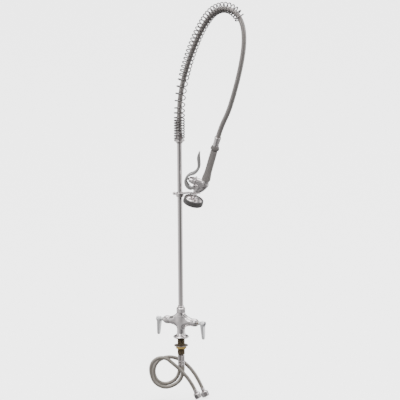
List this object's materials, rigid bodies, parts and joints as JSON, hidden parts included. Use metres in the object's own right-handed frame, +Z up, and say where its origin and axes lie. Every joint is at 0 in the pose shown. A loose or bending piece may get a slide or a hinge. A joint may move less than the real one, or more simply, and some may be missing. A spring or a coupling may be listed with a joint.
{
  "type": "pre rinse faucet",
  "caption": "Deck-mounted pre-rinse faucet: two-handle base, tall swivelling riser, overhead spring with a flexible hose and a squeeze-lever spray valve hung in a fork.",
  "frame": {"origin": "middle of the underside of the deck gasket, where the faucet stands on the deck", "axes": "+Z up along the riser; the spray valve hangs towards +X and -Y; the user stands on the -Y side"},
  "size_m": [0.3465, 0.2365, 1.44],
  "materials": {
    "chrome": "polished",
    "rubber": "matt black",
    "bumper": "matt dark grey",
    "dull_brass": "dull, threaded",
    "washer_steel": "satin",
    "brass": "plain",
    "grip": "matt warm grey",
    "satin_metal": "satin",
    "handle_metal": "light satin",
    "blue_cap": "gloss",
    "red_cap": "gloss",
    "hose_metal": "flexible wound metal",
    "spring_steel": "polished wire",
    "braid": "fine braid"
  },
  "bodies": {
    "base": {"deck_gasket": "rubber", "deck_flange": "chrome", "shank": "dull_brass", "shank_washer": "washer_steel", "lock_nut": "brass", "faucet_body": "chrome", "cold_cartridge": "brass", "cold_bonnet": "chrome", "hot_cartridge": "brass", "hot_bonnet": "chrome", "swivel_seal": "rubber", "swivel_nut": "chrome", "cold_hose_tail": "chrome", "hot_hose_tail": "chrome", "cold_supply_hose": "braid", "hot_supply_hose": "braid", "cold_hose_end": "chrome", "hot_hose_end": "chrome", "cold_coupling_washer": "rubber", "hot_coupling_washer": "rubber"},
    "cold_lever": {"cold_handle": "handle_metal", "cold_stem": "brass", "cold_handle_screw": "satin_metal", "cold_index_cap": "blue_cap"},
    "hot_lever": {"hot_handle": "handle_metal", "hot_stem": "brass", "hot_handle_screw": "satin_metal", "hot_index_cap": "red_cap"},
    "riser": {"riser_adapter": "chrome", "riser_collar": "chrome", "riser_pipe": "chrome", "finger_hook": "chrome", "hook_screw": "chrome", "spring_retainer": "chrome", "overhead_spring": "spring_steel", "hose_nut": "chrome", "hose_ferrule": "chrome", "spray_hose": "hose_metal"},
    "spray_valve": {"hose_connector": "chrome", "end_collar": "grip", "handle_tube": "satin_metal", "grip": "grip", "valve_body": "chrome", "valve_bonnet": "chrome", "return_spring": "spring_steel", "lever_pin": "satin_metal", "spray_head_shell": "chrome", "bumper_ring": "bumper", "spray_face": "satin_metal", "face_screw": "satin_metal"},
    "trigger": {"squeeze_lever": "satin_metal"},
    "plunger": {"plunger": "satin_metal", "seat_washer": "rubber"},
    "cold_coupling": {"cold_coupling_nut": "chrome"},
    "hot_coupling": {"hot_coupling_nut": "chrome"}
  },
  "joints": [
    {"name": "cold_handle_turn", "type": "hinge", "parent": "base", "child": "cold_lever", "pos_m": [0, 0, 0.058], "axis": [-0.8829, 0.4695, 0], "range_deg": [0, 90]},
    {"name": "hot_handle_turn", "type": "hinge", "parent": "base", "child": "hot_lever", "pos_m": [0, 0, 0.058], "axis": [-0.8829, 0.4695, 0], "range_deg": [0, 90]},
    {"name": "riser_swivel", "type": "hinge", "parent": "base", "child": "riser", "pos_m": [0, 0, 0.1], "axis": [0, 0, 1], "continuous": true},
    {"name": "spray_valve_lift_off", "type": "slide", "parent": "riser", "child": "spray_valve", "axis": [0.7869, -0.6148, 0.0523], "range_m": [0, 0.08], "deforming": ["spray_hose"]},
    {"name": "trigger_squeeze", "type": "hinge", "parent": "spray_valve", "child": "trigger", "pos_m": [0.04713, -0.04415, 0.544], "axis": [0.1938, 0.9691, 0.1528], "range_deg": [0, 8.5], "stiffness_Nm_per_rad": 4, "springref_deg": -17.19},
    {"name": "plunger_slide", "type": "slide", "parent": "spray_valve", "child": "plunger", "axis": [0.9469, -0.144, -0.2875], "range_m": [0, 0.004], "deforming": ["return_spring"]},
    {"name": "cold_coupling_spin", "type": "hinge", "parent": "base", "child": "cold_coupling", "pos_m": [0.0509, -0.02051, -0.19379], "axis": [0.4188, 0.0349, -0.9074], "continuous": true},
    {"name": "hot_coupling_spin", "type": "hinge", "parent": "base", "child": "hot_coupling", "pos_m": [0.07667, 0.01187, -0.19686], "axis": [0.4023, -0.0805, -0.912], "continuous": true}
  ],
  "couplings": [
    {"joint": "plunger_slide", "follows": "trigger_squeeze", "m_per_rad": 0.0255}
  ]
}
